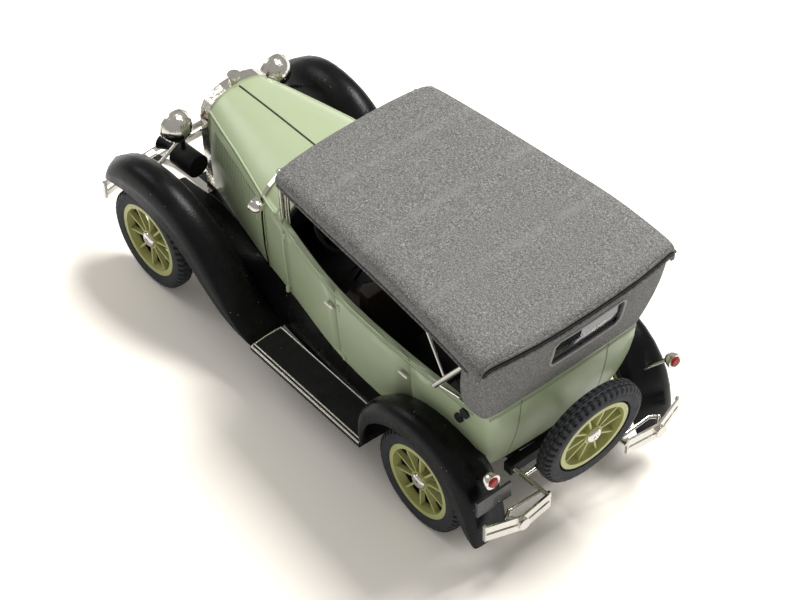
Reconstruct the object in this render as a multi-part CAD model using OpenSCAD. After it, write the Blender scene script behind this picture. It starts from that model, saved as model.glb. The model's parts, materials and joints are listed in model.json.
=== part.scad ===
// Die-cast 1:43 scale model of a four-door touring car with its top up.
// Millimetres, +X to the front, +Y to the left, +Z up, origin on the ground
// under the middle of the overall length.
//
// The four wheels turn on the ends of their axles. Every other piece is fixed,
// as on the real model: the doors are only engraved lines.

/* [Part to build] */

/* [Overall size] */
wheelbase = 61.1;        // front axle to rear axle
track = 32.0;            // between the middles of the left and right tyres
front_overhang = 13.75;  // front axle to the front of the bumper
rear_overhang = 17.81;   // rear axle to the back of the spare tyre
body_depth = 14.3;       // sill to belt line
top_rise = 15.75;        // belt line to the highest point of the top

/* [Wheels] */
tyre_radius = 8.25;
tyre_width = 2.7;
spare_radius = 8.7;      // the spare tyre stands a little larger than the others
rim_radius = 5.98;
spokes = 10;
spoke_width = 0.3;
hub_radius = 1.5;
axle_radius = 0.6;
axle_clearance = 0.05;

/* [Panels and fittings] */
body_wall = 0.8;
fender_wall = 0.6;
top_wall = 0.7;
headlamp_radius = 2.5;
bumper_bar = 0.9;
bumper_thick = 0.35;
seat_depth = 7.2;
steering_wheel_radius = 4.0;
plinth_hole_radius = 1.25;
plinth_hole_depth = 2.4;

/* [Hidden] */
$fn = 40;
mesh_gap = 0.02;
groove = 0.25;

// The size that the tables below are written for.
std_wheelbase = 61.1;
std_track = 32.0;
std_front_axle = 32.55;
std_rear_axle = -28.55;
std_front_overhang = 13.75;
std_rear_overhang = 17.81;
std_tyre_radius = 8.25;
std_sill = 12.85;
std_belt = 27.15;
std_top = 42.9;

overall_length = front_overhang + wheelbase + rear_overhang;
front_axle_x = overall_length / 2 - front_overhang;
rear_axle_x = front_axle_x - wheelbase;
wheel_y = track / 2;
axle_z = tyre_radius;
lift = tyre_radius - std_tyre_radius;
sill_z = std_sill + lift;
belt_z = sill_z + body_depth;

// ---- from the tables to the size that is set ----

// Along the car: the overhangs and the wheelbase stretch by themselves.
function along(x) =
    x > std_front_axle
        ? front_axle_x + (x - std_front_axle) * front_overhang / std_front_overhang
    : x < std_rear_axle
        ? rear_axle_x + (x - std_rear_axle) * rear_overhang / std_rear_overhang
    : rear_axle_x + (x - std_rear_axle) * wheelbase / std_wheelbase;

function across(y) = y * track / std_track;

// Up: the chassis rides on the tyres, the body and the top stretch above it.
function up(z) =
    z < std_sill ? z + lift
    : z < std_belt ? sill_z + (z - std_sill) * body_depth / (std_belt - std_sill)
    : belt_z + (z - std_belt) * top_rise / (std_top - std_belt);

function place(p) = [along(p[0]), across(p[1]), up(p[2])];
function place_grid(grid) = [for (row = grid) [for (p = row) place(p)]];

// ---- smooth curves and thin shells ----

function blend(a, b, t) = a + (b - a) * t;

// One point of the smooth curve through a, b, c and d, between b and c.
function curve_point(a, b, c, d, t) =
    0.5 * (2 * b + (c - a) * t + (2 * a - 5 * b + 4 * c - d) * t * t
           + (3 * b - a - 3 * c + d) * t * t * t);

// A list of numbers, points or whole rows, with steps - 1 new ones in each gap.
function smooth(list, steps) =
    let (last = len(list) - 1)
    [for (i = [0 : last - 1]) for (j = [0 : steps - 1])
        curve_point(list[max(i - 1, 0)], list[i], list[i + 1],
                    list[min(i + 2, last)], j / steps),
     list[last]];

// The other half of a list of points, mirrored, so that the whole list runs
// from the left side to the right one.
function both_sides(half) =
    concat(half, [for (i = [len(half) - 2 : -1 : 0]) [half[i][0], -half[i][1], half[i][2]]]);

// A closed shell between two grids of points with the same rows and columns.
module shell(outer, inner) {
    rows = len(outer);
    columns = len(outer[0]);
    count = rows * columns;
    function o(i, j) = i * columns + j;
    function n(i, j) = count + i * columns + j;
    faces = [
        for (i = [0 : rows - 2]) for (j = [0 : columns - 2]) each [
            [o(i, j), o(i + 1, j), o(i + 1, j + 1)],
            [o(i, j), o(i + 1, j + 1), o(i, j + 1)],
            [n(i, j), n(i + 1, j + 1), n(i + 1, j)],
            [n(i, j), n(i, j + 1), n(i + 1, j + 1)]
        ],
        for (i = [0 : rows - 2]) each [
            [o(i, 0), n(i, 0), n(i + 1, 0)],
            [o(i, 0), n(i + 1, 0), o(i + 1, 0)],
            [o(i, columns - 1), n(i + 1, columns - 1), n(i, columns - 1)],
            [o(i, columns - 1), o(i + 1, columns - 1), n(i + 1, columns - 1)]
        ],
        for (j = [0 : columns - 2]) each [
            [o(0, j), n(0, j + 1), n(0, j)],
            [o(0, j), o(0, j + 1), n(0, j + 1)],
            [o(rows - 1, j), n(rows - 1, j), n(rows - 1, j + 1)],
            [o(rows - 1, j), n(rows - 1, j + 1), o(rows - 1, j + 1)]
        ]
    ];
    // The faces wind the other way round where the grid runs the other way.
    i = floor((rows - 1) / 2);
    j = floor((columns - 1) / 2);
    corner = outer[i][j];
    facing = cross(outer[i + 1][j] - corner, outer[i][j + 1] - corner) * (inner[i][j] - corner);
    polyhedron(
        points = concat([for (row = outer) each row], [for (row = inner) each row]),
        faces = facing > 0 ? faces : [for (f = faces) [f[0], f[2], f[1]]]);
}

module on_both_sides() {
    children();
    mirror([0, 1, 0]) children();
}

// A round rod from one point to another.
module rod(from, to, radius) {
    way = to - from;
    length = norm(way);
    translate(from)
        rotate([0, acos(way[2] / length), atan2(way[1], way[0])])
            cylinder(r = radius, h = length);
}

// A bent rod: its elbows stand a little proud of it.
elbow_swell = 1.12;

module round_bar(points, radius) {
    for (i = [0 : len(points) - 2]) rod(points[i], points[i + 1], radius);
    for (i = [1 : len(points) - 2]) translate(points[i]) sphere(r = radius * elbow_swell);
}

module box(from, to) {
    translate(from) cube(to - from);
}

// ---- body ----

// Plan of the body, left half: x and half width at the sill, then at the belt.
body_plan = [
    [13.0, 9.4, 13.0, 10.05],
    [8.0, 10.2, 8.0, 11.0],
    [3.0, 11.15, 3.0, 12.15],
    [-2.5, 12.2, -2.5, 13.25],
    [-8.0, 12.95, -8.0, 14.0],
    [-15.5, 13.3, -15.5, 14.4],
    [-23.7, 13.05, -23.7, 14.35],
    [-29.5, 12.5, -30.0, 14.1],
    [-33.0, 11.7, -35.0, 13.95],
    [-35.1, 10.9, -38.0, 13.6],
    [-35.8, 7.8, -38.75, 11.4],
    [-36.0, 0.0, -38.95, 0.0]
];

// How far the side has swung out from sill to belt, at a share of the height.
function swell(share) = 1 - pow(1 - share, 1.9);

function plan_normal(list, i, xi, yi) =
    let (a = list[max(i - 1, 0)], b = list[min(i + 1, len(list) - 1)],
         dx = b[xi] - a[xi], dy = i == len(list) - 1 ? 0 : b[yi] - a[yi],
         size = norm([dx, dy]))
    i == len(list) - 1 ? [-1, 0] : [dy / size, -dx / size];

// The body's side from plan row i, at a share of the height, moved out by out.
function side_point(plan, i, share, out) =
    let (row = plan[i], s = swell(share),
         low = plan_normal(plan, i, 0, 1), high = plan_normal(plan, i, 2, 3),
         way = blend(low, high, s))
    [blend(row[0], row[2], s) + out * way[0],
     blend(row[1], row[3], s) + out * way[1],
     blend(std_sill, std_belt, share)];

function side_grid(plan, shares, out) =
    [for (share = shares) [for (i = [0 : len(plan) - 1]) side_point(plan, i, share, out)]];

function wall_grid(plan, shares, out) =
    place_grid([for (row = side_grid(plan, shares, out)) both_sides(row)]);

body_lines = smooth(body_plan, 2);
body_shares = [0, 0.12, 0.26, 0.42, 0.6, 0.8, 1];

// How full the bonnet's and the cowl's arches are.
arch_power = 3.4;

// The cowl's arch: x, half width and height at the belt, height at the middle.
cowl_rows = [
    [13.0, 10.05, 27.15, 30.5],
    [11.0, 10.45, 27.15, 30.75],
    [9.0, 10.8, 27.15, 30.9],
    [7.4, 11.1, 27.15, 31.0]
];

// Height of a bonnet or cowl section at a share of its half width.
function arch_grid(rows, drop, narrow) =
    place_grid([for (r = rows) both_sides([
        for (k = [6 : -1 : 0])
            let (share = sin(15 * k))
            [r[0], (r[1] - narrow) * share,
             r[2] - drop + (r[3] - r[2]) * (1 - pow(share, arch_power))]
    ])]);

module body_tub() {
    difference() {
        shell(wall_grid(body_lines, body_shares, 0),
              wall_grid(body_lines, body_shares, -body_wall));
        door_lines();
    }
    shell(arch_grid(cowl_rows, 0.02, body_wall / 2), arch_grid(cowl_rows, body_wall, body_wall / 2));
}

// Where the doors' upright lines are. Each is engraved from its low share of
// the side's height to its high one.
door_line_x = [7.2, -7.6, -23.8];
door_line_shares = [0.09, 0.3, 0.55, 0.78, 1.05];
groove_depth = 0.22;

// Half width of the body at x, at a share of its height.
function side_y(x, share) = blend(
    lookup(-x, [for (row = body_lines) if (row[0] > -28) [-row[0], row[1]]]),
    lookup(-x, [for (row = body_lines) if (row[0] > -28) [-row[0], row[3]]]),
    swell(min(share, 1)));

function line_grid(x, out) =
    place_grid([for (share = door_line_shares)
        [for (dx = [groove / 2, -groove / 2])
            [x + dx, side_y(x, share) + out, blend(std_sill, std_belt, share)]]]);

module door_lines() {
    on_both_sides()
        for (x = door_line_x) shell(line_grid(x, 0.5), line_grid(x, -groove_depth));
}

// ---- bonnet and radiator ----

bonnet_rows = [
    [31.2, 5.3, 27.8, 29.8, 5.45],
    [27.0, 6.45, 27.9, 30.05, 6.35],
    [22.0, 7.7, 27.95, 30.3, 7.5],
    [17.0, 9.05, 27.8, 30.45, 8.6],
    [13.1, 10.05, 27.4, 30.55, 9.4]
];

function bonnet_section(r, in) = both_sides(concat(
    [for (share = [0, 0.35, 0.7])
        [r[0], blend(r[4], r[1], share) + 0.35 * sin(180 * share) - in,
         blend(std_sill, r[2], share)]],
    [for (k = [6 : -1 : 0])
        let (share = sin(15 * k))
        [r[0], (r[1] - in) * share, r[2] - in + (r[3] - r[2]) * (1 - pow(share, arch_power))]]));

function bonnet_grid(in) = place_grid([for (r = smooth(bonnet_rows, 2)) bonnet_section(r, in)]);

module bonnet() {
    shell(bonnet_grid(0), bonnet_grid(body_wall));
}

// Radiator outline, left half: half width and height.
radiator_half = [
    [5.4, 12.6], [5.7, 20.6], [5.8, 26.0], [5.55, 27.6], [4.9, 28.8],
    [3.8, 29.5], [2.2, 30.05], [0, 30.3]
];

function radiator_outline(in) =
    let (half = [for (p = radiator_half)
        [across(max(p[0] - in * (p[0] > 0.1 ? 1 : 0), 0)), up(p[1] - in * (p[1] > 27 ? 1 : 0))]])
    concat(half, [for (i = [len(half) - 2 : -1 : 0]) [-half[i][0], half[i][1]]]);

radiator_back = 31.2;
radiator_front = 33.0;

module radiator_slice(back, front, in) {
    translate([along(back), 0, 0])
        rotate([90, 0, 90])
            linear_extrude(along(front) - along(back))
                polygon(radiator_outline(in));
}

module radiator_shell() {
    difference() {
        radiator_slice(radiator_back, radiator_front, 0);
        radiator_slice(radiator_back - 1, radiator_front + 1, 0.9);
    }
    translate([along(32.1), 0, up(29.9)]) cylinder(r = 0.75, h = 1.0);
    translate([along(32.1), 0, up(29.9) + 1.0]) cylinder(r = 1.0, h = 0.35);
}

module radiator_core() {
    radiator_slice(radiator_back + 0.2, radiator_front - 0.7, 0.9);
}

// ---- seats, dashboard and controls ----

lining_shares = [0.02, 0.3, 0.6, 0.96];
lining_plan = [for (row = body_lines) if (row[0] < 6) row];

module interior_lining() {
    gap = body_wall + mesh_gap;
    shell(wall_grid(lining_plan, lining_shares, -gap),
          wall_grid(lining_plan, lining_shares, -gap - 0.4));
}

module dashboard() {
    translate([along(7.0), 0, belt_z - 2.0])
        rotate([90, 0, 90])
            linear_extrude(0.8)
                polygon([[across(-10.0), 0], [across(-10.0), 2.2], [across(-7), 4.0], [0, 5.0],
                         [across(7), 4.0], [across(10.0), 2.2], [across(10.0), 0]]);
}

seat_z = 17.4;

module bench(front, back, half_width, back_top) {
    box([along(back), -across(half_width), up(plate_top)],
        [along(front), across(half_width), up(seat_z)]);
    translate([along(back), -across(half_width), up(seat_z) - 0.2])
        rotate([0, -12, 0])
            cube([1.9, 2 * across(half_width), back_top - up(seat_z)]);
}

module front_seat() {
    bench(-2.2, -2.2 - seat_depth, 11.0, belt_z - 0.6);
}

module rear_seat() {
    bench(-24.6, -24.6 - seat_depth, 10.6, belt_z - 0.6);
}

steering_hub = [1.2, 5.2, 27.4];
steering_foot = [9.5, 5.2, 16.0];

module steering_wheel() {
    hub = place(steering_hub);
    foot = place(steering_foot);
    way = hub - foot;
    lean = atan2(norm([way[0], way[1]]), way[2]);
    rod(foot, hub, 0.35);
    translate(hub)
        rotate([0, -lean, 0]) {
            rotate_extrude() translate([steering_wheel_radius, 0]) circle(r = 0.32, $fn = 12);
            cylinder(r = 0.6, h = 0.5, center = true);
            for (turn = [0 : 90 : 270])
                rotate([0, 0, turn])
                    translate([0, -0.2, -0.15]) cube([steering_wheel_radius, 0.4, 0.3]);
        }
}

module gear_levers() {
    for (y = [0, 1.6]) {
        foot = [along(5.0 - y), across(y), sill_z - 0.5];
        knob = foot + [-1.2 - y, 0, 7.5 - y];
        rod(foot, knob, 0.2);
        translate(knob) sphere(r = 0.45);
    }
}

// ---- chassis ----

rail_y = 5.4;
bumper_arm_y = 7.1;
rail_top = 11.6;
rail_bottom = 9.9;
plate_top = 12.75;

module chassis_frame() {
    on_both_sides() {
        box([along(-36.5), across(rail_y) - 0.6, up(rail_bottom)],
            [along(35.5), across(rail_y) + 0.6, up(rail_top)]);
    }
    for (x = [35.0, 18.0, -2.0, -20.0])
        box([along(x) - 0.7, -across(rail_y) + 0.6, up(rail_bottom)],
            [along(x) + 0.7, across(rail_y) - 0.6, up(rail_top)]);
    box([along(-37.0), -across(bumper_arm_y) - 0.6, up(rail_bottom)],
        [along(-35.6), across(bumper_arm_y) + 0.6, up(rail_top)]);
}

// Outline of the plate under the body: x and half width.
plate_half = [
    [33.2, 5.4], [31.2, 5.4], [13.0, 9.2], [8.0, 10.0], [3.0, 10.9], [-2.5, 11.9],
    [-8.0, 12.6], [-15.5, 12.9], [-23.7, 12.7], [-29.5, 11.9], [-33.0, 11.0],
    [-34.6, 9.4], [-35.4, 6.0], [-35.7, 0]
];

plinth_holes = [[14.0, 0], [-14.0, 0]];

module chassis_plate() {
    difference() {
        union() {
            translate([0, 0, up(rail_top)])
                linear_extrude(up(plate_top) - up(rail_top))
                    polygon(concat(
                        [for (p = plate_half) [along(p[0]), across(p[1])]],
                        [for (i = [len(plate_half) - 2 : -1 : 0])
                            [along(plate_half[i][0]), -across(plate_half[i][1])]]));
            for (p = plinth_holes)
                translate([along(p[0]), across(p[1]), up(rail_bottom)])
                    cylinder(r = plinth_hole_radius + 1.2, h = up(plate_top) - up(rail_bottom));
        }
        for (p = plinth_holes)
            translate([along(p[0]), across(p[1]), up(rail_bottom) - 1])
                cylinder(r = plinth_hole_radius, h = plinth_hole_depth + 1);
    }
}

module engine_and_gearbox() {
    box([along(19.0), -3.2, up(7.2)], [along(31.0), 3.2, up(rail_top)]);
}

exhaust_at = [-3.9, 6.6];

module exhaust() {
    y = exhaust_at[0];
    z = exhaust_at[1];
    rod(place([27.0, y, z]), place([-36.0, y, z]), 0.45);
    rod(place([-4.0, y, z]), place([-14.0, y, z]), 1.0);
    for (x = [20, -20])
        box([along(x) - 0.25, -across(rail_y) - 0.2, up(z)],
            [along(x) + 0.25, across(y) + 0.2, up(rail_bottom)]);
}

module leaf_springs() {
    spring(front_axle_x, 9.2);
    spring(rear_axle_x, 9.2);
}

module spring(x, half_span) {
    arc = [for (k = [-6 : 6]) [across(half_span) * k / 6, 1.3 * (1 - k * k / 36)]];
    translate([x - 0.5, 0, axle_z + 0.3])
        rotate([90, 0, 90])
            linear_extrude(1.0)
                polygon(concat(arc, [for (k = [6 : -1 : -6]) arc[k + 6] + [0, 0.45]]));
}

module axle_ends() {
    end_y = wheel_y + 0.6;
    for (s = [-1, 1])
        translate([0, s * (wheel_y - 2.2), 0])
            rotate([-90 * s, 0, 0]) cylinder(r = axle_radius, h = end_y - (wheel_y - 2.2));
}

module front_axle() {
    translate([front_axle_x, 0, axle_z]) {
        axle_ends();
        for (s = [-1, 1]) {
            translate([0, s * (wheel_y - 2.2), -1.0]) cylinder(r = 0.75, h = 2.0);
            rod([0, s * (wheel_y - 2.2), 0], [0, s * (wheel_y - 4.0), -0.6], 0.5);
        }
        rod([0, -(wheel_y - 4.0), -0.6], [0, wheel_y - 4.0, -0.6], 0.5);
        rod([-1.6, -(wheel_y - 2.2), -0.5], [-1.6, wheel_y - 2.2, -0.5], 0.25);
        for (s = [-1, 1])
            rod([-1.6, s * (wheel_y - 2.2), -0.5], [0, s * (wheel_y - 2.2), -0.5], 0.25);
    }
}

module rear_axle() {
    translate([rear_axle_x, 0, axle_z]) {
        axle_ends();
        rotate([90, 0, 0]) cylinder(r = 0.75, h = 2 * (wheel_y - 2.2), center = true);
        sphere(r = 2.0);
    }
}

// ---- wheels ----

rim_half = 1.1;
rim_inner_radius = rim_radius - 0.78;
rim_seat_radius = rim_radius - 0.28;
hub_inner = 1.0;
hub_outer = 0.85;

// A wheel about Z, its outer face up, the middle of the tyre at z = 0.
module wheel() {
    rotate_extrude()
        polygon([
            [rim_inner_radius, -rim_half], [rim_radius, -rim_half], [rim_radius, -rim_half + 0.2],
            [rim_seat_radius, -rim_half + 0.4], [rim_seat_radius, rim_half - 0.4],
            [rim_radius, rim_half - 0.2], [rim_radius, rim_half],
            [rim_inner_radius, rim_half]
        ]);
    difference() {
        union() {
            translate([0, 0, -hub_inner]) cylinder(r = hub_radius, h = hub_inner + hub_outer);
            translate([0, 0, hub_outer]) cylinder(r1 = 1.05, r2 = 0.8, h = 0.35);
            for (k = [0 : spokes - 1])
                rotate([0, 0, 360 * (k + 0.5) / spokes])
                    translate([hub_radius - 0.3, -spoke_width / 2, -0.1])
                        cube([rim_inner_radius - hub_radius + 0.5, spoke_width, 0.75]);
        }
        translate([0, 0, -hub_inner - 1])
            cylinder(r = axle_radius + axle_clearance, h = hub_inner + 1.65 + axle_clearance);
    }
}

module tyre(radius) {
    half = tyre_width / 2;
    shoulder = radius - 0.75;
    low_wall = blend(rim_radius, shoulder, 0.34);
    high_wall = blend(rim_radius, shoulder, 0.74);
    rotate_extrude($fn = 64)
        polygon([
            [rim_seat_radius + mesh_gap, -rim_half + 0.42],
            [rim_radius + mesh_gap, -rim_half + 0.2],
            [rim_radius + mesh_gap, -rim_half - 0.1],
            [low_wall, -half + 0.1], [high_wall, -half], [shoulder, -half + 0.15],
            [radius - 0.2, -half + 0.55], [radius, -0.55],
            [radius, 0.55], [radius - 0.2, half - 0.55],
            [shoulder, half - 0.15], [high_wall, half], [low_wall, half - 0.1],
            [rim_radius + mesh_gap, rim_half + 0.1],
            [rim_radius + mesh_gap, rim_half - 0.2],
            [rim_seat_radius + mesh_gap, rim_half - 0.42]
        ]);
}

module on_axle(x, side) {
    translate([x, side * wheel_y, axle_z])
        rotate([-90 * side, 0, 0]) children();
}

spare_lean = 9.0;

module as_spare() {
    translate([along(-43.92), 0, up(19.43)])
        rotate([0, -90 - spare_lean, 0]) children();
}

module spare_carrier() {
    as_spare() {
        translate([0, 0, -2.6]) cylinder(r = axle_radius, h = 3.2);
        difference() {
            translate([0, 0, -2.2]) cylinder(r = 1.8, h = 0.8);
            translate([0, 0, -3]) cylinder(r = axle_radius, h = 3);
        }
    }
    for (s = [-1, 1])
        rod(place([-42.6, s * 1.2, 18.8]), place([-38.9, s * 4.6, 11.0]), 0.45);
}

// ---- fenders, aprons and running boards ----

// Front fender, left: the outer lip, the crest and the inner edge, each x, y, z.
front_fender_rows = [
    [[41.9, 17.4, 14.2], [43.2, 15.4, 14.5], [42.2, 12.7, 13.6]],
    [[39.9, 18.5, 16.2], [41.0, 15.8, 18.3], [40.2, 12.2, 13.9]],
    [[37.0, 18.9, 17.4], [37.4, 16.0, 21.3], [37.0, 11.9, 13.6]],
    [[33.4, 19.0, 18.1], [33.4, 16.1, 23.0], [33.4, 11.8, 13.2]],
    [[29.4, 19.0, 18.1], [29.2, 16.1, 23.4], [29.0, 11.8, 13.0]],
    [[25.2, 19.0, 17.3], [25.0, 16.1, 22.7], [25.0, 11.8, 12.8]],
    [[21.3, 18.9, 15.2], [21.0, 16.0, 20.7], [21.0, 11.7, 12.3]],
    [[17.4, 18.8, 12.2], [17.0, 15.9, 17.2], [17.0, 11.7, 11.2]],
    [[13.5, 18.7, 9.5], [13.2, 15.6, 13.0], [13.2, 11.8, 9.7]],
    [[10.0, 18.6, 8.2], [10.0, 15.4, 9.7], [10.0, 12.0, 8.7]],
    [[6.4, 18.6, 7.9], [6.4, 15.2, 7.95], [6.4, 12.2, 8.0]]
];

// The points of one section: a full quarter bow from the lip to the crest, and
// a rounder one to the inner edge.
shoulder = 0.62;
inner_shoulder = 0.9;

function fender_section(row, in) =
    let (lip = row[0] - [0, in, 0], crest = row[1] - [0, 0, in], edge = row[2] + [0, in, 0])
    concat(
        [for (k = [0 : 5])
            let (a = 18 * k, c = k == 5 ? 0 : pow(cos(a), shoulder),
                 s = k == 0 ? 0 : pow(sin(a), shoulder))
            [blend(crest[0], lip[0], c), blend(crest[1], lip[1], c), blend(lip[2], crest[2], s)]],
        [for (k = [1 : 4])
            let (a = 22.5 * k, c = k == 4 ? 0 : pow(cos(a), inner_shoulder),
                 s = pow(sin(a), inner_shoulder))
            [blend(crest[0], edge[0], s), blend(crest[1], edge[1], s),
             blend(edge[2], crest[2], c)]]);

function fender_grid(rows, in) =
    place_grid([for (row = smooth(rows, 2)) fender_section(row, in)]);

module front_fenders() {
    on_both_sides()
        shell(fender_grid(front_fender_rows, 0), fender_grid(front_fender_rows, fender_wall));
}

// Rear fender, left, about the wheel: angle from the front, radius of the lip
// and of the crest, half widths of the lip and of the inner edge.
rear_fender_table = [
    [-3, 10.3, 10.8, 18.6, 13.1],
    [12, 10.2, 11.6, 18.8, 13.1],
    [30, 10.2, 12.5, 19.0, 13.1],
    [50, 10.2, 13.1, 19.0, 13.1],
    [70, 10.2, 13.4, 19.0, 13.1],
    [90, 10.2, 13.7, 19.0, 13.0],
    [110, 10.2, 14.0, 19.0, 12.7],
    [130, 10.2, 14.1, 19.0, 12.2],
    [150, 10.3, 13.8, 18.9, 11.9],
    [168, 10.7, 13.4, 18.7, 12.0],
    [180, 11.7, 13.3, 18.5, 12.1],
    [186, 12.9, 13.4, 18.2, 12.2]
];

function wheel_arc(angle, radius) =
    [std_rear_axle + radius * cos(angle), std_tyre_radius + radius * sin(angle)];

function rear_fender_row(r) =
    let (lip = wheel_arc(r[0], r[1]), crest = wheel_arc(r[0], r[2]),
         edge = wheel_arc(r[0], r[2] - min(1.8, 0.5 * (r[2] - r[1]))))
    [[lip[0], r[3], lip[1]], [crest[0], 16.5, crest[1]], [edge[0], r[4], edge[1]]];

// A rear section, whose thickness is towards the wheel.
function rear_section(row, r, in) =
    let (pull = -in * [cos(r[0]), 0, sin(r[0])],
         lip = row[0] - [0, in, 0], crest = row[1] + pull, edge = row[2] + pull)
    concat(
        [for (k = [0 : 4])
            let (a = 22.5 * k, c = k == 4 ? 0 : pow(cos(a), shoulder),
                 s = k == 0 ? 0 : pow(sin(a), shoulder))
            [blend(lip[0], crest[0], s), blend(crest[1], lip[1], c), blend(lip[2], crest[2], s)]],
        [for (k = [1 : 3]) blend(crest, edge, k / 3)]);

function rear_fender_grid(in) =
    place_grid([for (r = smooth(rear_fender_table, 2)) rear_section(rear_fender_row(r), r, in)]);

module rear_fenders() {
    on_both_sides() shell(rear_fender_grid(0), rear_fender_grid(fender_wall));
}

// Splash aprons, left: x, then y and z at the fender or board, then at the sill.
apron_rows = [
    [36.3, 12.3, 13.5, 7.4, 12.2],
    [33.4, 12.2, 13.3, 7.2, 12.3],
    [29.0, 12.1, 13.0, 7.0, 12.6],
    [25.0, 12.0, 12.8, 7.3, 12.75],
    [21.0, 11.9, 12.2, 8.0, 12.8],
    [17.0, 11.9, 11.1, 8.8, 12.8],
    [13.2, 12.0, 9.6, 9.5, 12.8],
    [10.0, 12.2, 8.6, 10.0, 12.8],
    [6.4, 12.4, 7.9, 10.6, 12.8],
    [0.0, 12.8, 7.7, 11.8, 12.8],
    [-8.0, 13.0, 7.7, 12.9, 12.8],
    [-18.0, 13.2, 7.7, 13.1, 12.8]
];

function apron_grid(in) = place_grid([
    for (r = smooth(apron_rows, 2)) [
        for (share = [0, 0.3, 0.65, 1])
            [r[0], blend(r[1], r[3], share) - in * 0.8,
             blend(r[2], r[4], pow(share, 0.8)) - in * 0.6]
    ]]);

module splash_aprons() {
    on_both_sides() shell(apron_grid(0), apron_grid(0.5));
}

board_front = 6.4;
board_rear = -17.9;
board_top = 7.9;
board_outer = 18.6;
board_inner = 12.9;

module running_boards() {
    on_both_sides()
        box([along(board_rear), across(board_inner), up(board_top) - 0.8],
            [along(board_front), across(board_outer), up(board_top)]);
}

module running_board_mats() {
    on_both_sides()
        box([along(board_rear) + 0.3, across(board_inner) + 0.3, up(board_top)],
            [along(board_front) - 0.3, across(board_outer) - 0.3, up(board_top) + 0.2]);
}

// ---- lamps, horn and small fittings ----

headlamp_at = [34.69, 9.12, 24.9];

module lamp_bowl(radius, length) {
    rotate([0, 90, 0])
        rotate_extrude()
            polygon(concat(
                [[0, -length]],
                [for (k = [1 : 9]) [radius * sin(10 * k), -length * cos(10 * k)]],
                [[radius + 0.08, 0], [radius + 0.08, 0.35], [radius - 0.2, 0.35], [0, 0.1]]));
}

module headlamps() {
    on_both_sides() {
        translate(place(headlamp_at)) lamp_bowl(headlamp_radius, headlamp_radius * 1.05);
        rod(place(headlamp_at) - [0.4, 0, headlamp_radius + 0.5],
            place(headlamp_at) - [0.4, 0, headlamp_radius - 0.4], 0.3);
    }
}

module headlamp_lenses() {
    on_both_sides()
        translate(place(headlamp_at) + [0.12, 0, 0])
            rotate([0, 90, 0])
                rotate_extrude()
                    polygon([[0, 0], [headlamp_radius - 0.22, 0.26],
                             [headlamp_radius - 0.22, 0.3],
                             [headlamp_radius * 0.6, 0.55], [0, 0.7]]);
}

headlamp_bar_half = [[34.3, 13.0, 19.6], [34.3, 9.12, 22.0], [34.3, 4.5, 21.9], [34.3, 0, 21.6]];

module headlamp_bar() {
    half = [for (p = headlamp_bar_half) place(p)];
    round_bar(both_sides(half), 0.3);
}

module horn() {
    back = place([31.3, 8.0, 18.4]);
    front = place([35.6, 8.3, 18.3]);
    way = front - back;
    rod(back, front, 1.85);
    translate(front)
        rotate([0, 90, atan2(way[1], way[0])]) {
            translate([0, 0, -0.2]) cylinder(r = 0.65, h = 2.4);
            translate([0, 0, 2.1]) cylinder(r1 = 0.7, r2 = 1.4, h = 1.5);
        }
    translate(place([34.3, 8.3, 19.9])) cylinder(r = 0.35, h = 2.0);
}

cowl_lamp_at = [12.6, 11.7, 26.9];

module cowl_lamps() {
    on_both_sides() {
        translate(place(cowl_lamp_at)) lamp_bowl(1.0, 1.3);
        rod(place(cowl_lamp_at) - [0.4, 0, 0], place([12.2, 9.9, 26.4]), 0.25);
    }
}

band_rows = [[13.35, 10.03, 27.15, 30.5, 9.4], [12.75, 10.12, 27.15, 30.52, 9.5]];

module cowl_band() {
    shell(place_grid([for (r = band_rows) bonnet_section(r, -0.15)]),
          place_grid([for (r = band_rows) bonnet_section(r, 0.05)]));
}

screen_foot = [7.7, 10.6, 27.4];
screen_top = [5.9, 12.2, 38.9];

module windscreen_frame() {
    foot = place(screen_foot);
    top = place(screen_top);
    on_both_sides() rod(foot, top, 0.35);
    for (share = [0.34, 0.98]) {
        p = blend(foot, top, share);
        rod([p[0], -p[1], p[2]], p, 0.25);
    }
}

module windscreen_glass() {
    low = blend(place(screen_foot), place(screen_top), 0.36);
    high = blend(place(screen_foot), place(screen_top), 0.96);
    t = 0.15;
    polyhedron(
        points = [
            for (p = [low, high]) for (s = [-1, 1]) for (d = [-t, t])
                [p[0] + d, s * (p[1] - 0.33), p[2]]],
        faces = [[0, 1, 3, 2], [4, 6, 7, 5], [0, 4, 5, 1], [2, 3, 7, 6], [1, 5, 7, 3], [0, 2, 6, 4]]);
}

// ---- the top ----

// Rows along the top: x at the edge, x at the middle, half width, height of the
// side's lower edge, of the rolled edge and of the middle.
roof_rows = [
    [4.8, 5.6, 13.6, 38.3, 39.3, 39.9],
    [4.0, 4.8, 14.0, 38.3, 39.7, 40.8],
    [-1.0, -1.0, 14.45, 38.5, 40.2, 41.5],
    [-8.0, -8.0, 14.95, 38.6, 40.8, 42.1],
    [-15.0, -15.0, 15.4, 38.8, 41.3, 42.5],
    [-22.0, -22.0, 15.9, 39.0, 41.7, 42.8],
    [-29.0, -29.0, 16.5, 39.3, 41.9, 42.9],
    [-35.0, -35.6, 16.95, 39.1, 41.5, 42.85],
    [-39.0, -40.4, 17.25, 38.8, 40.9, 42.65],
    [-40.5, -42.2, 17.3, 38.6, 40.4, 42.4],
    [-40.9, -42.75, 17.15, 38.3, 39.7, 41.8]
];

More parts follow.
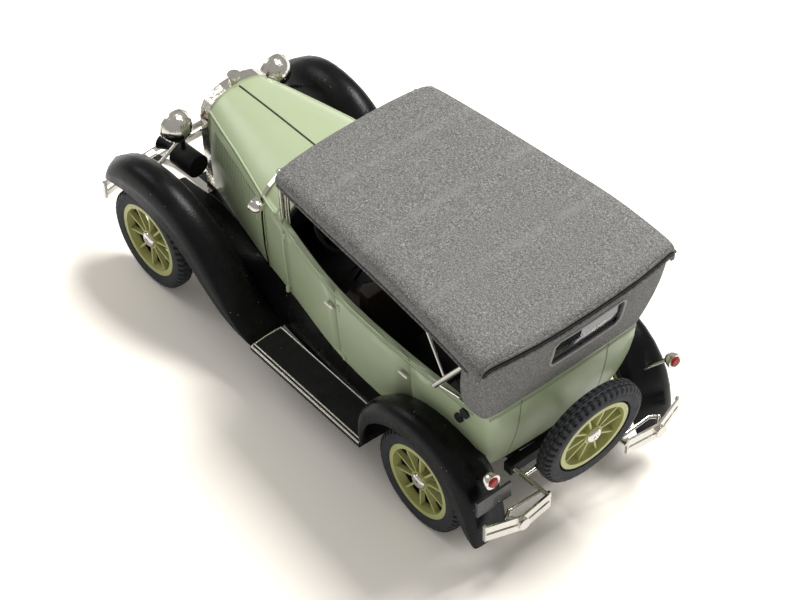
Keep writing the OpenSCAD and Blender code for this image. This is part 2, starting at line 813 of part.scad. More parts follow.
function roof_section(r, in) = both_sides(concat(
    [[r[0], r[2] - in, r[3]], [r[0], r[2] + 0.1 - in, blend(r[3], r[4] - in, 0.5)]],
    [for (k = [0 : 6])
        let (share = [1, 0.97, 0.9, 0.75, 0.5, 0.25, 0][k],
             roll = [0, 0.45, 0.75, 0.9, 0.97, 0.99, 1][k])
        [blend(r[1], r[0], pow(share, 3)), (r[2] - in * (k == 0 ? 1 : 0.5)) * share,
         blend(r[4], r[5], roll) - in]]));

function roof_grid(in) = place_grid([for (r = smooth(roof_rows, 2)) roof_section(r, in)]);

module roof() {
    shell(roof_grid(0), roof_grid(top_wall));
}

// Rear curtain, left half: x, y at the belt, then x, y, z at the top.
curtain_rows = [
    [-34.6, 13.95, -37.4, 16.7, 38.9],
    [-36.8, 14.0, -39.4, 16.8, 39.2],
    [-38.3, 13.6, -40.6, 16.3, 40.0],
    [-38.7, 11.6, -41.6, 13.2, 40.7],
    [-38.8, 6.4, -42.3, 7.6, 41.0],
    [-38.85, 0, -42.6, 0, 41.2]
];

curtain_lines = smooth(curtain_rows, 3);
curtain_swell = 0.5;

function curtain_grid(in) =
    place_grid([for (share = [0, 0.2, 0.4, 0.6, 0.8, 1])
        both_sides([for (i = [0 : len(curtain_lines) - 1])
            let (r = curtain_lines[i],
                 low = plan_normal(curtain_lines, i, 0, 1),
                 high = plan_normal(curtain_lines, i, 2, 3),
                 way = blend(low, high, share))
            [blend(r[0], r[2], share) + (curtain_swell * sin(180 * share) - in) * way[0],
             blend(r[1], r[3], share) + (curtain_swell * sin(180 * share) - in) * way[1],
             blend(std_belt, r[4], share)]])]);

module rear_curtain() {
    difference() {
        shell(curtain_grid(-0.1), curtain_grid(top_wall));
        rear_window_block(0);
    }
}

window_middle = -1.2;
window_half_width = 6.1;
window_low = 33.2;
window_high = 38.4;

module rear_window_block(in) {
    box([along(-45), across(window_middle - window_half_width) + in, up(window_low) + in],
        [along(-37), across(window_middle + window_half_width) - in, up(window_high) - in]);
}

module rear_window_glass() {
    intersection() {
        shell(curtain_grid(0.25), curtain_grid(0.45));
        rear_window_block(0.02);
    }
}

module roof_irons() {
    on_both_sides() {
        rod(place([-31.4, 16.3, 29.8]), place([-37.6, 16.6, 38.9]), 0.4);
        rod(place([-33.4, 13.9, 27.4]), place([-31.7, 16.1, 30.2]), 0.25);
        rod(place([-27.5, 15.2, 39.0]), place([-33.4, 16.3, 32.8]), 0.2);
    }
}

module roof_saddles() {
    on_both_sides() {
        translate(place([-34.7, 13.45, 25.4]))
            rotate([0, 0, 5]) rotate([-90, 0, 0]) cylinder(r = 0.8, h = 0.8);
        translate(place([-33.5, 13.4, 23.5]))
            rotate([0, 0, 5]) rotate([-90, 0, 0]) cylinder(r = 0.75, h = 0.8);
        rod(place([-34.7, 13.95, 25.4]), place([-33.5, 13.9, 23.5]), 0.3);
    }
}

handle_at = [[-6.1, 13.6, 23.75], [-22.4, 14.1, 23.65]];

module door_handles() {
    on_both_sides()
        for (p = handle_at) {
            q = place(p);
            rod(q - [0, 0.4, 0], q + [0, 0.6, 0], 0.22);
            rod(q + [0.25, 0.6, 0], q + [-1.5, 0.6, 0], 0.25);
        }
}

hinge_at = [[6.6, 11.3, 25.3], [7.0, 10.9, 14.0], [-8.4, 13.9, 24.4], [-8.4, 13.1, 14.0]];

module door_hinges() {
    on_both_sides()
        for (p = hinge_at) translate(place(p) - [0, 0, 0.5]) cylinder(r = 0.32, h = 1.0);
}

// ---- bumpers and tail ----

// Flat bumper bars along a list of x and y, one at each height.
module bumper_bars(points, heights, tall, back) {
    for (z = heights)
        shell([for (p = points) [for (rise = [0, tall]) place([p[0], p[1], z]) + [0, 0, rise]]],
              [for (p = points) [for (rise = [0, tall])
                  place([p[0], p[1], z]) + [back, 0, rise]]]);
}

front_bumper_half = [[45.0, 15.9], [45.9, 10.5], [46.25, 4.0], [46.3, 0]];

// The flat arm on the end of the frame: x and height.
front_arm = [[31.4, 12.0], [36.4, 12.0], [39.6, 11.4], [42.8, 10.0], [45.9, 9.0]];

module front_bumper() {
    bumper_bars(both_sides([for (p = front_bumper_half) [p[0], p[1], 0]]), [7.3, 9.3],
                bumper_bar, -bumper_thick);
    on_both_sides() {
        box(place([44.5, 15.6, 7.2]), place([45.1, 16.1, 10.3]));
        shell([for (p = front_arm) [for (y = [5.5, 6.8]) place([p[0], y, p[1]])]],
              [for (p = front_arm) [for (y = [5.5, 6.8]) place([p[0], y, p[1] - 0.4])]]);
    }
}

rear_bumper_line = [[-44.4, 7.2], [-45.0, 12.5], [-43.3, 17.6]];
rear_bar = 1.15;

module rear_bumpers() {
    on_both_sides() {
        bumper_bars([for (p = rear_bumper_line) [p[0], p[1], 0]], [9.6, 11.2], rear_bar,
                    bumper_thick);
        for (p = [rear_bumper_line[0], rear_bumper_line[2]])
            box(place([p[0] + 0.05, p[1] - 0.2, 9.5]), place([p[0] + 0.5, p[1] + 0.2, 12.5]));
        rod(place([-44.2, bumper_arm_y, 11.5]), place([-36.2, bumper_arm_y, 10.9]), 0.35);
        round_bar([place([-42.6, 7.3, 11.4]), place([-42.4, 12.8, 11.4]),
                   place([-43.2, 13.9, 11.4]), place([-44.4, 12.6, 11.4])], 0.3);
        translate(place([-45.4, 12.5, 11.0])) rotate([0, 90, 0]) cylinder(r = 0.95, h = 0.8);
    }
    rod(place([-38.9, -bumper_arm_y, 11.0]), place([-38.9, bumper_arm_y, 11.0]), 0.3);
}

module tail_lamps() {
    on_both_sides() {
        translate(place([-42.85, 16.4, 20.7])) mirror([1, 0, 0]) lamp_bowl(1.1, 1.3);
        rod(place([-42.2, 16.4, 20.6]), place([-38.8, 15.2, 16.6]), 0.3);
    }
}

module tail_lamp_lenses() {
    on_both_sides()
        translate(place([-42.85, 16.4, 20.7]) + [-0.15, 0, 0])
            rotate([0, -90, 0]) cylinder(r1 = 0.9, r2 = 0.65, h = 0.5);
}

module number_plate() {
    box(place([-42.6, 12.6, 14.6]), place([-42.2, 18.6, 17.4]));
}

// ---- build ----

chassis_frame();
chassis_plate();
engine_and_gearbox();
exhaust();
leaf_springs();
front_axle();
rear_axle();
bonnet();
body_tub();
interior_lining();
dashboard();
front_seat();
rear_seat();
steering_wheel();
gear_levers();
radiator_shell();
radiator_core();
headlamps();
headlamp_lenses();
headlamp_bar();
horn();
cowl_lamps();
cowl_band();
windscreen_frame();
windscreen_glass();
roof();
rear_curtain();
rear_window_glass();
roof_irons();
roof_saddles();
door_handles();
door_hinges();
front_fenders();
rear_fenders();
splash_aprons();
running_boards();
running_board_mats();
front_bumper();
rear_bumpers();
tail_lamps();
tail_lamp_lenses();
number_plate();
spare_carrier();
as_spare() wheel();  // spare_wheel
as_spare() tyre(spare_radius);  // spare_tyre
on_axle(front_axle_x, 1) wheel();  // wheel_front_left
on_axle(front_axle_x, 1) tyre(tyre_radius);  // tyre_front_left
on_axle(front_axle_x, -1) wheel();  // wheel_front_right
on_axle(front_axle_x, -1) tyre(tyre_radius);  // tyre_front_right
on_axle(rear_axle_x, 1) wheel();  // wheel_rear_left
on_axle(rear_axle_x, 1) tyre(tyre_radius);  // tyre_rear_left
on_axle(rear_axle_x, -1) wheel();  // wheel_rear_right
on_axle(rear_axle_x, -1) tyre(tyre_radius);  // tyre_rear_right
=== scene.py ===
# %% [markdown]
# # A 1:43 touring car
#
# The object is a collector's model of an open four-door touring car of about
# 1930, 93 mm long, with its grained top up. The CAD model gives every size.
# This script loads it as a fixed frame, gives each of its parts a finish, and
# then makes the fine shapes that a CAD model leaves plain: tyre treads, beads,
# hinges, louvres, pleated seats and bright trims.

# %% Load the CAD model
import json
import math

import bpy
from mathutils import Matrix, Quaternion, Vector
from mathutils.bvhtree import BVHTree


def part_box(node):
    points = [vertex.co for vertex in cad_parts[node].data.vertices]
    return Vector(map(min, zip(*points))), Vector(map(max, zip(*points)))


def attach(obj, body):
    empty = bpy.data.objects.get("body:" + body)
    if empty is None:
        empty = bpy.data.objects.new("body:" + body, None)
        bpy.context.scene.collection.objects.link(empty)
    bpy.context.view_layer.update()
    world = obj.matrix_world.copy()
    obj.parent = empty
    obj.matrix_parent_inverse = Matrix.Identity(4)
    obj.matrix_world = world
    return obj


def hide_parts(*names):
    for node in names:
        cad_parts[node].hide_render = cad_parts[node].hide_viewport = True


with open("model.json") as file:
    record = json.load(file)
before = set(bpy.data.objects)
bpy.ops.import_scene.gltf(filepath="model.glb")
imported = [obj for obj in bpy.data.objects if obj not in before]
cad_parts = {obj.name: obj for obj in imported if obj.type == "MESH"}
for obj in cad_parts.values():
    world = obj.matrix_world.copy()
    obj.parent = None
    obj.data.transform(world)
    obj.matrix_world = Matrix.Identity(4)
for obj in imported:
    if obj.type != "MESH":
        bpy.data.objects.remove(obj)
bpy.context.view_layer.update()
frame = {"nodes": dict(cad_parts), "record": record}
nodes = frame["nodes"]
MM = 0.001
print("CAD nodes:", len(nodes))

# %% [markdown]
# ## The camera
#
# The model stands on a table and is looked down on from behind its left
# shoulder. A long lens from under half a metre away gives a little
# perspective, which is what shows that the car is small.

# %% Camera
EYE = Vector((-235.33, 189.58, 327.84)) * MM
AIM = Vector((-0.85, -3.10, 8.25)) * MM
ROLL = math.radians(-0.988)

bpy.ops.object.camera_add(location=EYE)
camera = bpy.context.object
camera.name = "camera"
camera.rotation_mode = "QUATERNION"
look = (AIM - EYE).to_track_quat("-Z", "Y")
camera.rotation_quaternion = look @ Quaternion((0, 0, 1), ROLL)
camera.data.lens = 137.81
camera.data.clip_start = 0.01
bpy.context.scene.camera = camera
print("The camera stands", round((EYE - AIM).length * 1000), "mm away")

# %% [markdown]
# ## A first helper for finishes
#
# Every finish starts from the Principled shader. Its plain numbers go straight
# on its own sockets, and only what changes over the surface is linked to it.

# %% New finish
def new_finish(name, colour, metallic=0.0, roughness=0.5, **others):
    """A material whose shader has these plain values. others are shader socket names."""
    finish = bpy.data.materials.new(name)
    finish.use_nodes = True
    shader = finish.node_tree.nodes["Principled BSDF"]
    shader.inputs["Base Color"].default_value = (*colour, 1)
    shader.inputs["Metallic"].default_value = metallic
    shader.inputs["Roughness"].default_value = roughness
    for socket, value in others.items():
        shader.inputs[socket.replace("_", " ")].default_value = value
    return finish


# %% [markdown]
# ## Patterns on the surface
#
# A pattern has its size in millimetres on the object, so it keeps its scale
# on every part. Object coordinates are used: all parts share one origin, and
# the pattern runs on from one part to the next.

# %% Helpers for patterns
def link(finish, output, node, socket):
    """Join an output to a named socket of a node."""
    finish.node_tree.links.new(output, node.inputs[socket])


def place_on(finish, middle=(0, 0, 0), stretch=(1, 1, 1)):
    """Object coordinates in millimetres, from a middle point, stretched."""
    tree = finish.node_tree
    where = tree.nodes.new("ShaderNodeTexCoord")
    mapping = tree.nodes.new("ShaderNodeMapping")
    mapping.vector_type = "POINT"
    mapping.inputs["Location"].default_value = [-m * s for m, s in zip(middle, stretch)]
    mapping.inputs["Scale"].default_value = [1000 * s for s in stretch]
    tree.links.new(where.outputs["Object"], mapping.inputs["Vector"])
    return mapping.outputs["Vector"]


def grain(finish, size, detail=2.0, stretch=(1, 1, 1)):
    """Cloudy noise whose spots are about size millimetres wide."""
    noise = finish.node_tree.nodes.new("ShaderNodeTexNoise")
    noise.inputs["Scale"].default_value = 1 / size
    noise.inputs["Detail"].default_value = detail
    link(finish, place_on(finish, stretch=stretch), noise, "Vector")
    return noise.outputs["Fac"]


def spread(finish, value, start, end, low=0.0, high=1.0):
    """The value's range from start to end becomes low to high."""
    node = finish.node_tree.nodes.new("ShaderNodeMapRange")
    for socket, number in (("From Min", start), ("From Max", end), ("To Min", low), ("To Max", high)):
        node.inputs[socket].default_value = number
    link(finish, value, node, "Value")
    return node.outputs["Result"]


def sums(finish, operation, first, second=None):
    """One Math node: each side is a number or another node's output."""
    node = finish.node_tree.nodes.new("ShaderNodeMath")
    node.operation = operation
    for index, side in enumerate((first, second)):
        if side is None:
            continue
        if isinstance(side, (int, float)):
            node.inputs[index].default_value = side
        else:
            finish.node_tree.links.new(side, node.inputs[index])
    return node.outputs["Value"]


def colours(finish, factor, first, second):
    """Runs from the first colour at 0 to the second at 1. Each is a colour or an output."""
    node = finish.node_tree.nodes.new("ShaderNodeMix")
    node.data_type = "RGBA"
    finish.node_tree.links.new(factor, node.inputs["Factor"])
    for socket, side in ((6, first), (7, second)):
        if isinstance(side, tuple):
            node.inputs[socket].default_value = (*side, 1)
        else:
            finish.node_tree.links.new(side, node.inputs[socket])
    return node.outputs[2]


def relief(finish, height, depth, below=None):
    """Bump whose height from 0 to 1 is depth millimetres."""
    node = finish.node_tree.nodes.new("ShaderNodeBump")
    node.inputs["Distance"].default_value = depth * MM
    link(finish, height, node, "Height")
    if below is not None:
        link(finish, below, node, "Normal")
    return node.outputs["Normal"]


def put(finish, socket, output):
    """Join an output to a socket of the finish's shader."""
    link(finish, output, finish.node_tree.nodes["Principled BSDF"], socket)


def two_tone(finish, size, first, second, detail=2.0):
    """Clouds of two colours, about size millimetres wide."""
    put(finish, "Base Color", colours(finish, grain(finish, size, detail), first, second))


def uneven_gloss(finish, size, low, high, detail=2.0):
    """Roughness that drifts between low and high."""
    put(finish, "Roughness", spread(finish, grain(finish, size, detail), 0.3, 0.7, low, high))


def bumps(finish, size, depth, detail=2.0):
    """Small bumps about size millimetres wide and up to depth millimetres high."""
    put(finish, "Normal", relief(finish, grain(finish, size, detail), depth))


# %% [markdown]
# ## The table and the light
#
# A pale table in a white room. The main light is a soft box high above the
# car's right side, so the left side is in half shade and the shadow falls
# softly to the left. To the camera the table is brighter than it is to the
# model, so it shows as pure white wherever no shadow lies on it.

# %% Floor
bpy.ops.mesh.primitive_plane_add(size=8, location=(0, 0, 0))
floor = bpy.context.object
floor.name = "floor"
table_top = new_finish("table_top", (0.93, 0.915, 0.9), 0, 0.9, Specular_IOR_Level=0.1)
pale = colours(table_top, grain(table_top, 90), (0.93, 0.915, 0.9), (0.95, 0.935, 0.92))
ray = table_top.node_tree.nodes.new("ShaderNodeLightPath")
put(table_top, "Base Color", colours(table_top, ray.outputs["Is Camera Ray"], pale, (1.32, 1.24, 1.13)))
floor.data.materials.append(table_top)

# %% Room and lamps
room = bpy.data.worlds.new("room")
room.use_nodes = True
tree = room.node_tree
tree.nodes["Background"].inputs["Color"].default_value = (1, 1, 1, 1)
tree.nodes["Background"].inputs["Strength"].default_value = 0.37
seen = tree.nodes.new("ShaderNodeBackground")
seen.inputs["Color"].default_value = (1, 1, 1, 1)
seen.inputs["Strength"].default_value = 1.0
rays = tree.nodes.new("ShaderNodeLightPath")
either = tree.nodes.new("ShaderNodeMath")
either.operation = "MAXIMUM"
tree.links.new(rays.outputs["Is Camera Ray"], either.inputs[0])
tree.links.new(rays.outputs["Is Transmission Ray"], either.inputs[1])
choice = tree.nodes.new("ShaderNodeMixShader")
tree.links.new(either.outputs[0], choice.inputs[0])
tree.links.new(tree.nodes["Background"].outputs[0], choice.inputs[1])
tree.links.new(seen.outputs[0], choice.inputs[2])
tree.links.new(choice.outputs[0], tree.nodes["World Output"].inputs["Surface"])
bpy.context.scene.world = room
bpy.context.scene.view_settings.view_transform = "Standard"


def soft_box(name, place, aim, size, power):
    """A rectangular lamp; place, aim and size are in millimetres, power in watts."""
    bpy.ops.object.light_add(type="AREA", location=Vector(place) * MM)
    lamp = bpy.context.object
    lamp.name = name
    lamp.data.shape = "RECTANGLE"
    lamp.data.size, lamp.data.size_y = size[0] * MM, size[1] * MM
    lamp.data.energy = power
    lamp.rotation_mode = "QUATERNION"
    lamp.rotation_quaternion = (Vector(aim) - Vector(place)).to_track_quat("-Z", "Y")
    return lamp


soft_box("main_light", (-20, -300, 640), (0, 0, 10), (300, 240), 5.0)
soft_box("front_light", (420, 120, 380), (10, 0, 15), (260, 200), 0.5)

# %% [markdown]
# ## Paint
#
# The body is die-cast metal with a satin spray coat. Spray paint at this
# scale has a very fine orange peel, and the clear coat over it is a little
# uneven. The rear corners of the body have upright seams, which are drawn in
# the paint as thin dark lines with a small groove.

# %% Body paint
GREEN = (0.445, 0.515, 0.32)
GREEN_DEEP = (0.40, 0.47, 0.285)
body_paint = new_finish("body_paint", GREEN, 0, 0.36, Coat_Weight=0.25, Coat_Roughness=0.22)
parts = body_paint.node_tree.nodes.new("ShaderNodeSeparateXYZ")
link(body_paint, place_on(body_paint), parts, "Vector")
SEAM_Y = 7.7
from_middle = sums(body_paint, "ABSOLUTE", parts.outputs["Y"])
from_seam = sums(body_paint, "ABSOLUTE", sums(body_paint, "SUBTRACT", from_middle, SEAM_Y))
at_seam = sums(body_paint, "MULTIPLY", spread(body_paint, from_seam, 0.0, 0.16, 1.0, 0.0),
               spread(body_paint, parts.outputs["X"], -36.2, -36.0, 1.0, 0.0))
shades = colours(body_paint, grain(body_paint, 9), GREEN, GREEN_DEEP)
flecks = spread(body_paint, grain(body_paint, 0.5, 1), 0.76, 0.8, 0.0, 0.5)
shades = colours(body_paint, flecks, shades, (0.3, 0.41, 0.2))
put(body_paint, "Base Color", colours(body_paint, at_seam, shades, (0.12, 0.19, 0.09)))
uneven_gloss(body_paint, 3, 0.3, 0.42)
peel = relief(body_paint, grain(body_paint, 0.3, 2), 0.012)
put(body_paint, "Normal", relief(body_paint, sums(body_paint, "SUBTRACT", 1.0, at_seam), 0.12, peel))

# %% [markdown]
# The wheels are cast and painted olive yellow. The fenders, the aprons and the
# plate below the body are satin black, with the specks of dust and the rubbed
# places that a black model always shows.

# %% Wheel paint and black paint
wheel_paint = new_finish("wheel_paint", (0.50, 0.50, 0.17), 0, 0.38, Coat_Weight=0.2, Coat_Roughness=0.3)
two_tone(wheel_paint, 0.9, (0.47, 0.47, 0.15), (0.56, 0.56, 0.23), 3)
uneven_gloss(wheel_paint, 0.6, 0.28, 0.46)
bumps(wheel_paint, 0.25, 0.02)


def with_dust(finish, base, worn, dust, how_much):
    """Colours a dark finish, with pale worn clouds and single specks of dust on it."""
    clouds = spread(finish, grain(finish, 7, 4), 0.45, 0.75)
    specks = finish.node_tree.nodes.new("ShaderNodeTexVoronoi")
    specks.inputs["Scale"].default_value = 1.3
    link(finish, place_on(finish), specks, "Vector")
    chance = finish.node_tree.nodes.new("ShaderNodeSeparateColor")
    link(finish, specks.outputs["Color"], chance, "Color")
    here = sums(finish, "MULTIPLY", spread(finish, specks.outputs["Distance"], 0.05, 0.09, 1.0, 0.0),
                spread(finish, chance.outputs["Red"], 1 - how_much, 1 - how_much + 0.01))
    return colours(finish, here, colours(finish, clouds, base, worn), dust)


black_paint = new_finish("black_paint", (0.005, 0.005, 0.005), 0, 0.34, Specular_IOR_Level=0.17)
dusty = with_dust(black_paint, (0.004, 0.004, 0.0042), (0.009, 0.009, 0.009), (0.45, 0.44, 0.41), 0.22)
put(black_paint, "Base Color", dusty)
uneven_gloss(black_paint, 2.5, 0.24, 0.38, 4)
bumps(black_paint, 0.28, 0.03, 2)

black_plastic = new_finish("black_plastic", (0.008, 0.008, 0.008), 0, 0.6, Specular_IOR_Level=0.3)
dusty = with_dust(black_plastic, (0.006, 0.006, 0.006), (0.012, 0.0115, 0.011), (0.25, 0.24, 0.22), 0.05)
put(black_plastic, "Base Color", dusty)
uneven_gloss(black_plastic, 1.5, 0.5, 0.7, 3)
bumps(black_plastic, 0.2, 0.03, 3)

# %% [markdown]
# ## The grained top
#
# The top is a moulding that imitates coarse fabric: grey brown, with a grain like sand, and paler where the
# bows of the frame press up from below. The sand's sparkle is painted highlight: pale specks of painted
# glint in the grain's colour. The grain is colour, roughness and bump together, since none of the three
# looks right alone.

# %% Top material
top_plastic = new_finish("top_plastic", (0.15, 0.145, 0.135), 0, 0.8)
fine = grain(top_plastic, 0.17, 2)
coarse = grain(top_plastic, 0.34, 2)
sand = sums(top_plastic, "ADD", sums(top_plastic, "MULTIPLY", fine, 0.6),
            sums(top_plastic, "MULTIPLY", coarse, 0.4))
base = colours(top_plastic, spread(top_plastic, sand, 0.4, 0.6), (0.10, 0.097, 0.09), (0.26, 0.253, 0.238))
# Pale specks of painted glint: painted highlight in the grain's colour, standing in for light caught by the
# sand.
painted_glints = spread(top_plastic, grain(top_plastic, 0.17, 0), 0.72, 0.8, 0.0, 0.75)
base = colours(top_plastic, painted_glints, base, (0.5, 0.49, 0.47))
top_parts = top_plastic.node_tree.nodes.new("ShaderNodeSeparateXYZ")
link(top_plastic, place_on(top_plastic), top_parts, "Vector")
BOWS_X = (-3.5, -15.5, -28.5)
bows = None
for bow in BOWS_X:
    off = sums(top_plastic, "ABSOLUTE", sums(top_plastic, "SUBTRACT", top_parts.outputs["X"], bow))
    line = spread(top_plastic, off, 0.0, 1.1, 1.0, 0.0)
    bows = line if bows is None else sums(top_plastic, "MAXIMUM", bows, line)
# The top is paler in patches along the three bows.
patches = spread(top_plastic, grain(top_plastic, 3, 3), 0.35, 0.7, 0.0, 0.5)
paler_along_bows = sums(top_plastic, "MULTIPLY", bows, patches)
put(top_plastic, "Base Color", colours(top_plastic, paler_along_bows, base, (0.3, 0.295, 0.28)))
put(top_plastic, "Roughness", spread(top_plastic, fine, 0.35, 0.65, 0.6, 0.9))
ridge = relief(top_plastic, bows, 0.1)
put(top_plastic, "Normal", relief(top_plastic, sand, 0.16, ridge))

# %% [markdown]
# ## Bright metal, rubber and glass
#
# The trim is warm nickel plate. It isn't a perfect mirror: faint waves and
# fine wear break the reflections up. The tyres are grey black rubber, and the
# panes are clear plastic.

# %% Metals
bright_metal = new_finish("bright_metal", (0.86, 0.82, 0.74), 1, 0.14)
two_tone(bright_metal, 1.2, (0.88, 0.845, 0.77), (0.74, 0.70, 0.62), 3)
put(bright_metal, "Roughness", spread(bright_metal, grain(bright_metal, 0.5, 3), 0.35, 0.7, 0.08, 0.24))
bumps(bright_metal, 0.8, 0.03, 2)

steel = new_finish("steel", (0.42, 0.42, 0.42), 1, 0.35)
two_tone(steel, 0.8, (0.45, 0.45, 0.45), (0.3, 0.29, 0.28), 4)
put(steel, "Roughness", spread(steel, grain(steel, 0.3, 3, (1, 8, 1)), 0.3, 0.7, 0.25, 0.5))
bumps(steel, 0.3, 0.015, 2)

# %% Rubber
rubber = new_finish("rubber", (0.02, 0.02, 0.021), 0, 0.7, Specular_IOR_Level=0.3)
two_tone(rubber, 1.2, (0.02, 0.021, 0.023), (0.05, 0.052, 0.055), 4)
uneven_gloss(rubber, 0.6, 0.58, 0.8, 2)
bumps(rubber, 0.18, 0.02, 2)

# %% Clear and red plastic, and the plate's print
clear = new_finish("clear", (0.93, 0.96, 0.96), 0, 0.06, Transmission_Weight=0.92, IOR=1.45)
uneven_gloss(clear, 1.5, 0.03, 0.12, 3)
bumps(clear, 2.5, 0.02, 1)

red_clear = new_finish("red_clear", (0.45, 0.015, 0.012), 0, 0.12, Transmission_Weight=0.3, IOR=1.45)
two_tone(red_clear, 0.4, (0.5, 0.02, 0.015), (0.3, 0.008, 0.008))
bumps(red_clear, 0.35, 0.05, 0)

plate_print = new_finish("plate_print", (0.012, 0.012, 0.013), 0, 0.3, Coat_Weight=0.4)
dusty = with_dust(plate_print, (0.01, 0.01, 0.011), (0.018, 0.018, 0.018), (0.5, 0.5, 0.5), 0.1)
put(plate_print, "Base Color", dusty)
uneven_gloss(plate_print, 0.7, 0.24, 0.4, 2)
bumps(plate_print, 0.3, 0.01)

# %% Put the finishes on the CAD parts
finishes = {
    "body_paint": body_paint, "wheel_paint": wheel_paint, "black_paint": black_paint,
    "black_plastic": black_plastic, "top_plastic": top_plastic, "bright_metal": bright_metal,
    "steel": steel, "rubber": rubber, "clear": clear, "red_clear": red_clear,
    "plate_print": plate_print,
}
for part in frame["record"]["subparts"]:
    thing = nodes[part["node"]]
    thing.data.materials.clear()
    thing.data.materials.append(finishes[part["material_slot"]])
print("Finishes:", len(finishes))

# %% [markdown]
# ## Smooth copies of the pressed panels
#
# The CAD panels are made of small flat faces. On the real model the fenders,
# the body and the bonnet are smooth castings. Each gets a copy whose loose
# triangles are merged, so that smooth shading can run across them. The angle
# limit keeps the real edges sharp.

# %% Merge and smooth the panels
CAR = "car"
subparts = {part["node"]: part for part in frame["record"]["subparts"]}


def only(piece):
    """Select this object alone."""
    bpy.ops.object.select_all(action="DESELECT")
    piece.select_set(True)
    bpy.context.view_layer.objects.active = piece


def declare(piece, body, slot, finish=None):
    """The piece moves with a body and takes a slot's finish."""
    piece.data.materials.clear()
    piece.data.materials.append(finish or finishes[slot])
    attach(piece, body)
    return piece


def smooth_copy(node, angle):
    """A merged, smooth-shaded copy that stands for a CAD node."""
    bpy.ops.object.select_all(action="DESELECT")
    copy = nodes[node].copy()
    copy.data = nodes[node].data.copy()
    copy.name = node + "_smooth"
    bpy.context.collection.objects.link(copy)
    only(copy)
    bpy.ops.object.mode_set(mode="EDIT")
    bpy.ops.mesh.select_all(action="SELECT")
    bpy.ops.mesh.remove_doubles(threshold=0.000008)
    bpy.ops.object.mode_set(mode="OBJECT")
    bpy.ops.object.shade_smooth_by_angle(angle=math.radians(angle))
    declare(copy, CAR, subparts[node]["material_slot"])
    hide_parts(node)
    return copy


for node, angle in (("front_fenders", 50), ("rear_fenders", 50), ("body_tub", 32), ("bonnet", 30),
                    ("cowl_band", 30), ("roof", 40), ("rear_curtain", 35), ("splash_aprons", 35)):
    smooth_copy(node, angle)
print("Smooth panels: 8")

# %% [markdown]
# ## Tyres with their tread
#
# A tyre is a lathe shape. Its half section is extruded point by point from a
# single corner, spun round the axle, and then every second face of each
# shoulder is pushed in, which leaves the blocks of the tread between them. One tyre is made
# and copied to the other wheels, and the spare is the same tyre, a little
# larger, leaning back on its carrier.

# %% Lathe helper
def lathe(name, section, steps):
    """Spin a section, a list of radius and height in mm, round the Z axis."""
    bpy.ops.object.select_all(action="DESELECT")
    bpy.ops.mesh.primitive_plane_add(size=0.001)
    piece = bpy.context.object
    piece.name = name
    bpy.ops.object.mode_set(mode="EDIT")
    bpy.ops.mesh.select_mode(type="VERT")
    bpy.ops.mesh.select_all(action="SELECT")
    bpy.ops.mesh.merge(type="CENTER")
    bpy.ops.transform.translate(value=Vector((section[0][0], 0, section[0][1])) * MM)
    for before, after in zip(section, section[1:]):
        step = Vector((after[0] - before[0], 0, after[1] - before[1])) * MM
        bpy.ops.mesh.extrude_region_move(TRANSFORM_OT_translate={"value": step})
    bpy.ops.mesh.select_all(action="SELECT")
    bpy.ops.mesh.spin(steps=steps, angle=2 * math.pi, center=(0, 0, 0), axis=(0, 0, 1))
    bpy.ops.mesh.select_all(action="SELECT")
    bpy.ops.mesh.remove_doubles(threshold=0.000004)
    bpy.ops.mesh.normals_make_consistent(inside=False)
    bpy.ops.object.mode_set(mode="OBJECT")
    bpy.ops.object.shade_smooth_by_angle(angle=math.radians(35))
    return piece


def copied(piece, name, matrix):
    """A copy with its own mesh, moved in the mesh so that the object stays at the origin."""
    copy = piece.copy()
    copy.data = piece.data.copy()
    copy.name = name
    bpy.context.collection.objects.link(copy)
    copy.data.transform(matrix)
    return copy


# %% One tyre
HALF = [(6.0, 1.2), (6.4, 1.28), (6.9, 1.35), (7.0, 1.35), (7.05, 1.31), (7.12, 1.35), (7.6, 1.28),
        (7.95, 1.1), (8.12, 0.9), (8.15, 0.56), (8.02, 0.52), (8.02, 0.44), (8.2, 0.4), (8.24, 0.16),
        (8.08, 0.12), (8.08, 0.04)]
STEPS = 96
tyre = lathe("tyre", HALF + [(r, -z) for r, z in reversed(HALF)] + [HALF[0]], STEPS)
bpy.ops.object.mode_set(mode="EDIT")
bpy.ops.mesh.select_mode(type="FACE")
bpy.ops.mesh.select_all(action="DESELECT")
bpy.ops.object.mode_set(mode="OBJECT")
for face in tyre.data.polygons:
    middle = face.center
    turn = math.atan2(middle.y, middle.x) / (2 * math.pi) * STEPS
    radius = math.hypot(middle.x, middle.y) / MM
    high = abs(middle.z) / MM
    side = 1 if middle.z > 0 else 0
    block = 0.6 < high < 1.25 and radius > 7.7 or 0.17 < high < 0.39 and radius > 8.15
    face.select = block and round(turn - 0.5 + side) % 2 == 0
bpy.ops.object.mode_set(mode="EDIT")
bpy.ops.mesh.extrude_region_shrink_fatten(TRANSFORM_OT_shrink_fatten={"value": -0.00026})
bpy.ops.object.mode_set(mode="OBJECT")
print("Tyre:", len(tyre.data.polygons), "faces")

# %% Put the tyres on
WHEELS = {"front_left": (32.58, 16, 1), "front_right": (32.58, -16, -1),
          "rear_left": (-28.52, 16, 1), "rear_right": (-28.52, -16, -1)}


def wheel_place(wheel):
    x, y, out = WHEELS[wheel]
    return Matrix.Translation(Vector((x, y, 8.25)) * MM) @ Matrix.Rotation(-out * math.pi / 2, 4, "X")


